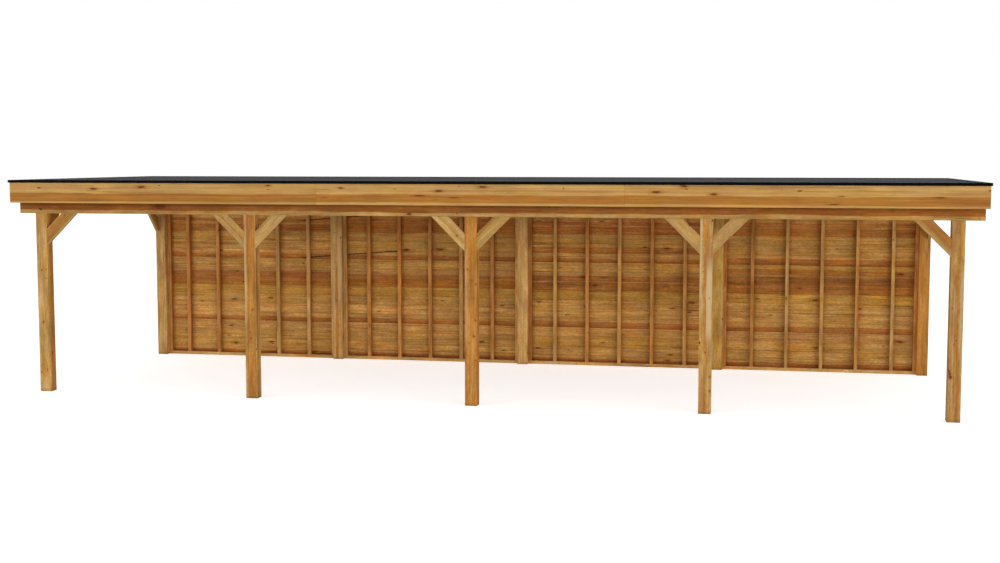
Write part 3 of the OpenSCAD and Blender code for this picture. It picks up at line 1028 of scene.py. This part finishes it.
BOARD_FINISH = wood("wall_boarding", wall_marks, Pith=(0.0, -0.010, 0.030), Pith_Spread=0.03,
                    Knot_Size=0.0, Pin_Knot_Size=0.003, Knot_Spacing=1.6,
                    Oval_Size=0.013, Oval_Spacing=4.5, Oval_Centre=0.066, Oval_Reach=0.045,
                    Band_Width=0.022, Streaks=44.0, Lines=0.4, Checks=0.5,
                    Blush=0.5, Drift=0.6, Variety=0.5, Mottle=0.19, Sap=BOARD_SAP,
                    Sap_Late=BOARD_SAP_LATE, Heart=BOARD_HEART, Heart_Late=BOARD_HEART_LATE)


def stud_shade_stations(bay, start, length):
    """Stations for the shade painted beside each stud: most at its edges, and gone further away."""
    places = [(x + side * (STUD_WIDTH / 2 + gap) - start, amount) for x in stud_places(bay)
              for gap, amount in STUD_SHADE_FADE for side in (-1, 1)]
    return [(s, amount) for s, amount in places if END_MARGIN < s < length - END_MARGIN]


def wall_boards(bay):
    """The boards of one bay, from the lowest row up, as one piece."""
    low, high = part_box(f"wall_boards_{bay}")
    rng = np.random.default_rng(BOARD_DRAWS + bay)
    length = high.x - low.x - BUTT_GAP
    # shade painted on the inner face beside each stud
    shade_stations = stud_shade_stations(bay, low.x + BUTT_GAP / 2, length)
    share = np.random.default_rng(SHARE_DRAWS + bay).uniform(0.8, 1.08, BOARD_ROWS)
    stack = Stack()
    for row in range(BOARD_ROWS):
        start = np.array([low.x + BUTT_GAP / 2, low.y, low.z + row * BOARD_COVER])
        heart, tone, cast = np.add(ROWS[row], OWN_BOARD.get((bay, row), (0.0, 0.0, 0.0)))
        timber = (row * 1.37 + bay * 19.0, heart * share[row], tone * rng.uniform(0.99, 1.07),
                  cast + rng.uniform(-0.2, 0.2))
        stack.carry(board_section(row), start, X, Z, length, timber, ease=BOARD_EASE, shade_stations=shade_stations)
    stack.piece(f"wall_boarding_{bay}", BOARD_FINISH, "wall_boarding", [f"wall_boards_{bay}"])


for bay in BAYS:
    wall_frame(bay)
    wall_boards(bay)


# -------------------- fascia and roof boards

# Marks of the front fascia: the place along it and up it, and the half length
FASCIA_KNOTS = [(-4.678, 2.563, 0.050), (-4.052, 2.587, 0.060), (-2.430, 2.611, 0.034),
                (-1.525, 2.586, 0.036), (-0.336, 2.553, 0.048), (0.187, 2.603, 0.052),
                (2.187, 2.552, 0.056), (2.501, 2.620, 0.046), (2.835, 2.530, 0.048)]
FASCIA_DASHES = [(-1.733, 2.475, 0.030), (-0.571, 2.499, 0.075), (-0.158, 2.477, 0.050),
                 (4.149, 2.425, 0.060), (4.227, 2.516, 0.040), (5.273, 2.507, 0.070)]
FASCIA_MARKS = face_marks(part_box("fascia_front")[0].y, FASCIA_KNOTS, (1.0, 3.2), FASCIA_DASHES)
FASCIA_FINISH = wood("fascia_timber", FASCIA_MARKS, Pith=(0.0, 0.014, -0.061), Pith_Spread=0.0,
                     Knot_Size=0.0, Knot_Spacing=0.9, Pin_Knot_Size=0.004,
                     Oval_Size=0.010, Oval_Spacing=1.9, Oval_Centre=0.05, Oval_Reach=0.045,
                     Band_Width=0.04, Lines=0.2, Checks=0.3,
                     Blush=0.15, Drift=0.45, Variety=0.15, Clouds=0.5, Mottle=0.03,
                     Sap=shade(216, 174, 104), Sap_Late=shade(168, 118, 58), Heart=shade(188, 129, 55),
                     Heart_Late=shade(150, 95, 37))


def fascia(side, along, joints, seed):
    """A fascia of one or more lengths, butted at the given shares of its run. Its outer face looks
    along the negative across axis, so that each side shows the same face of the board."""
    name = f"fascia_{side}"
    low, high = box_corners(name)
    size = high - low
    run = float(abs(size @ along))
    height = float(size[2])
    middle = (low + high) / 2
    begin = middle - along * run / 2
    thickness = float(min(size[0], size[1]))
    stack = Stack()
    stops = [0.0, *joints, 1.0]
    for k in range(len(stops) - 1):
        s0, s1 = stops[k] * run + BUTT_GAP / 2, stops[k + 1] * run - BUTT_GAP / 2
        timber = (seed + 5.1 * k, 0.054, 0.96 if k == 0 else 1.0)
        stack.carry(arris_section(thickness, height), begin + along * s0, along, Z, s1 - s0, timber)
    stack.piece(f"fascia_board_{side}", FASCIA_FINISH, "fascia_timber", [name])


fascia("front", X, (0.342, 0.658), 80.0)
fascia("rear", -X, (0.342, 0.658), 110.0)
fascia("left", -Y, (), 140.0)
fascia("right", Y, (), 150.0)

DECK_FINISH = wood("roof_boarding", Pith=(0.0, 0.0, 0.03), Pith_Spread=0.08, Knot_Size=0.013,
                   Knot_Spacing=0.8, Pin_Knot_Size=0.005, Band_Width=0.024, Checks=0.4)


def roof_boards():
    """Roof boards side by side from front to rear, each row of three lengths that meet over rafters.
    The two joints of a row shift from one row to the next."""
    low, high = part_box("roof_deck")
    width = (high.y - low.y) / DECK_ROWS
    section = deck_section(width, high.z - low.z)
    rng = np.random.default_rng(DECK_DRAWS)
    stack = Stack()
    for row in range(DECK_ROWS):
        y = low.y + (row + 0.5) * width
        over = (RAFTER_X[4 + row % 4], RAFTER_X[11 + (row * 3) % 5])
        stops = [low.x, *over, high.x]
        for k in range(3):
            start = np.array([stops[k] + BUTT_GAP / 2, y, (low.z + high.z) / 2])
            timber = (rng.uniform(0, 90), rng.choice([0.0, 0.02, 0.05]), rng.uniform(0.93, 1.07))
            stack.carry(section, start, X, Z, stops[k + 1] - stops[k] - BUTT_GAP, timber)
    stack.piece("roof_boards", DECK_FINISH, "roof_boarding", ["roof_deck"])


roof_boards()


# -------------------- fixings

def plated_steel(name, dark, light, metallic):
    """Plated or coated steel: fine mottling in its colour and its gloss."""
    material, web, shader = new_material(name)
    mottle = web.noise(web.position(), 900.0, 2.0)
    web.fill(shader, {"Base Color": web.mix(mottle, dark, light), "Metallic": metallic,
                      "Roughness": web.spread(mottle, 0.3, 0.7, 0.35, 0.55)})
    return material


ZINC = plated_steel("zinc_plate", shade(150, 152, 150), shade(196, 196, 190), 1.0)
COATED = plated_steel("coated_screws", shade(112, 84, 46), shade(148, 114, 66), 0.3)
# Radius and height along the axis; a countersunk head stands a hair proud and dips in the middle
SCREW_HEAD = turned([(0.0042, -0.001), (0.0042, 0.0003), (0.0036, 0.0006), (0.0016, 0.0005),
                     (0.0010, -0.001)], 8)
BOLT_HEAD = turned([(0.0125, 0.0), (0.0125, 0.002), (0.0118, 0.0035), (0.0085, 0.0062),
                    (0.004, 0.0075)], 20)
WASHER = turned([(0.017, 0.0), (0.017, 0.002), (0.0164, 0.0025), (0.008, 0.0025)], 24)
NUT = turned([(0.0095, 0.0025), (0.0098, 0.003), (0.0098, 0.0095), (0.0088, 0.0102)], 6)
BOLT_END = turned([(0.005, 0.009), (0.005, 0.014), (0.0042, 0.0148)], 12)
WALL_SCREW_RISES = (0.018, 0.078)      # heights of the screws above a board's lower joint
FASCIA_SCREW_RISES = (0.095, 0.205)    # and above the fascia's lower edge
SIDE_SCREWS = 7                        # pairs of screws in a side fascia
SIDE_SCREW_END = 0.1                   # from the fascia's end to its first pair
BOLT_RISE = 0.150                      # height of the bolts above the beam's lower edge
BOLT_SPREAD = 0.036                    # from a post's middle to each of its two bolts

wall_screws = [(x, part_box(f"wall_boards_{bay}")[1].y, row * BOARD_COVER + rise)
               for bay in BAYS for x in stud_places(bay) for row in range(BOARD_ROWS)
               for rise in WALL_SCREW_RISES]
repeat(SCREW_HEAD, wall_screws, Y, "wall_screws", COATED)

# Pairs of screws: at each rafter, and evenly along the side fascias
for side, outward in OUTWARD.items():
    low, high = box_corners(f"fascia_{side}")
    face = np.where(outward > 0, high, low)
    runs = np.linspace(low[1] + SIDE_SCREW_END, high[1] - SIDE_SCREW_END, SIDE_SCREWS)
    spots = [(face[0], y) for y in runs] if outward[0] else [(x, face[1]) for x in RAFTER_X]
    screws = [(x, y, low[2] + rise) for x, y in spots for rise in FASCIA_SCREW_RISES]
    repeat(SCREW_HEAD, screws, outward, f"fascia_screws_{side}", COATED)

# Two bolts through the beam and each post's tongue, behind the fascia: heads outside, nuts inside
BOLT_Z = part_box("front_beam")[0].z + BOLT_RISE
for outer, row in enumerate(("front", "rear")):
    heads, nuts = [], []
    for i in FRAMES:
        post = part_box(f"{row}_post_{i}")
        for side in (-1, 1):
            x = (post[0].x + post[1].x) / 2 + side * BOLT_SPREAD
            heads.append((x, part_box(f"{row}_beam")[outer].y, BOLT_Z))
            nuts.append((x, post[1 - outer].y, BOLT_Z))
    repeat(BOLT_HEAD, heads, OUTWARD[row], f"bolt_heads_{row}", ZINC)
    for part, form in (("washers", WASHER), ("nuts", NUT), ("ends", BOLT_END)):
        repeat(form, nuts, -OUTWARD[row], f"bolt_{part}_{row}", ZINC)


# -------------------- roof covering and edge

def rubber():
    """Dark rubber sheet: slow clouds of speckled dust and a soft ripple."""
    material, web, shader = new_material("membrane")
    place = web.position()
    clouds = web.noise(place * (0.7, 1.2, 1.0), 1.0, 4.0, 0.6)
    speck = web.noise(place, 60.0, 3.0, 0.7)
    dust = web.spread(clouds, 0.35, 0.7) * web.spread(speck, 0.3, 0.7, 0.4, 1.0)
    ripple = web.noise(place * (1.4, 2.6, 1.0), 2.0, 3.0, 0.5)
    finish_shader(web, shader, web.mix(dust, shade(31, 32, 36), shade(49, 51, 56)),
                  web.spread(dust, 0.0, 1.0, 0.72, 0.9), ripple + speck * 0.1,
                  strength=0.3, depth=0.004, specular=0.12)
    return material


TRIM_JOINT_X = 1.25    # butt joints of the trim: here, and every twice that further out


def black_edge():
    """Satin black powder coat: a fine orange peel, faint dust, and a dark line at each butt joint."""
    material, web, shader = new_material("edge_trim")
    place = web.position()
    peel = web.noise(place, 700.0, 2.0)
    dust = web.noise(place, 5.0, 4.0, 0.65)
    run = web.math("PINGPONG", abs(web.split(place)[0]) + TRIM_JOINT_X, TRIM_JOINT_X)
    joint = web.spread(run, 0.0008, 0.0022, smooth=True)
    color = web.mix(web.spread(dust, 0.4, 0.75), shade(4, 4, 4), shade(9, 9, 10))
    finish_shader(web, shader, color * web.spread(joint, 0.0, 1.0, 0.3, 1.0),
                  web.spread(dust, 0.3, 0.7, 0.5, 0.65), peel * 0.05 + joint,
                  strength=0.4, depth=0.0006, specular=0.03)
    return material


dress("roof_membrane", rubber())
EDGE_FINISH = black_edge()
for side in OUTWARD:
    dress(f"trim_{side}", EDGE_FINISH)


# -------------------- floor, light, camera

AMBIENT = 0.52         # strength of the plain light from all round
FLOOR_RADIUS = 90.0
FLOOR_LIFT = 0.7       # light that the camera sees the floor give off
SUNS = (("right", 1.31, 52.0), ("left", 0.925, -40.0))  # strength, and heading round from the front
SUN_SPREAD = 11.0      # degrees by which the two suns of one side stand apart from their middle
SUN_SIZE = 16.0        # degrees across
SUN_HEIGHT = 5.0       # degrees above the horizon


def background_rays(web):
    """1 for rays that look at the background: from the camera, and through mirrors and glass."""
    path = web.outputs(web.add("ShaderNodeLightPath"))
    seen = web.math("MAXIMUM", path["Is Camera Ray"], path["Is Glossy Ray"])
    return web.math("MAXIMUM", seen, path["Is Transmission Ray"])


def make_floor():
    """A pale disc. The camera sees it almost white, with the object's shadow kept."""
    disc = turned([(FLOOR_RADIUS, -0.002), (FLOOR_RADIUS, -0.001)], 96)
    floor = add_object("floor", new_mesh("floor", *disc))
    material, web, shader = new_material("pale_floor")
    web.fill(shader, {"Base Color": (0.92, 0.92, 0.92, 1.0), "Roughness": 0.9, "Specular IOR Level": 0.0})
    plain = web.outputs(shader)["BSDF"]
    glow = web.make("ShaderNodeEmission", 0, {"Strength": FLOOR_LIFT})
    lifted = web.make("ShaderNodeAddShader", 0, {0: plain, 1: glow})
    mixed = web.make("ShaderNodeMixShader", 0, {0: background_rays(web), 1: plain, 2: lifted})
    output = next(n for n in web.tree.nodes if n.type == "OUTPUT_MATERIAL")
    web.fill(output, {"Surface": mixed})
    floor.data.materials.append(material)
    floor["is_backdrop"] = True


def make_world():
    """Plain light from all round; rays that look at the background see white."""
    world = bpy.data.worlds.new("studio")
    world.use_nodes = True
    web = Nodes(world.node_tree)
    glow = web.spread(background_rays(web), 0.0, 1.0, AMBIENT, 1.0)
    web.fill(world.node_tree.nodes["Background"], {"Color": (1.0, 1.0, 1.0, 1.0), "Strength": glow})
    bpy.context.scene.world = world


def make_sun(name, strength, heading):
    """A soft low sun, heading round from the front in degrees."""
    lamp = bpy.data.lights.new(name, "SUN")
    lamp.energy = strength
    lamp.angle = math.radians(SUN_SIZE)
    sun = add_object(name, lamp)
    sun.rotation_euler = (math.radians(90 - SUN_HEIGHT), 0.0, math.radians(heading))


def make_camera():
    """A camera before the front, a little higher than the roof and turned a little to the left."""
    lens = bpy.data.cameras.new("camera")
    lens.lens = 50.34
    lens.sensor_width = 36.0
    lens.clip_end = 500.0
    camera = add_object("camera", lens)
    camera.location = (3.508, -17.864, 2.924)
    camera.rotation_euler = (math.radians(85.0), 0.0, math.radians(11.11))
    bpy.context.scene.camera = camera


make_floor()
make_world()
for side, strength, heading in SUNS:
    make_sun(f"{side}_inner_light", strength / 2, heading - SUN_SPREAD)
    make_sun(f"{side}_outer_light", strength / 2, heading + SUN_SPREAD)
make_camera()
bpy.context.scene.view_settings.view_transform = "Standard"

low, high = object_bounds()
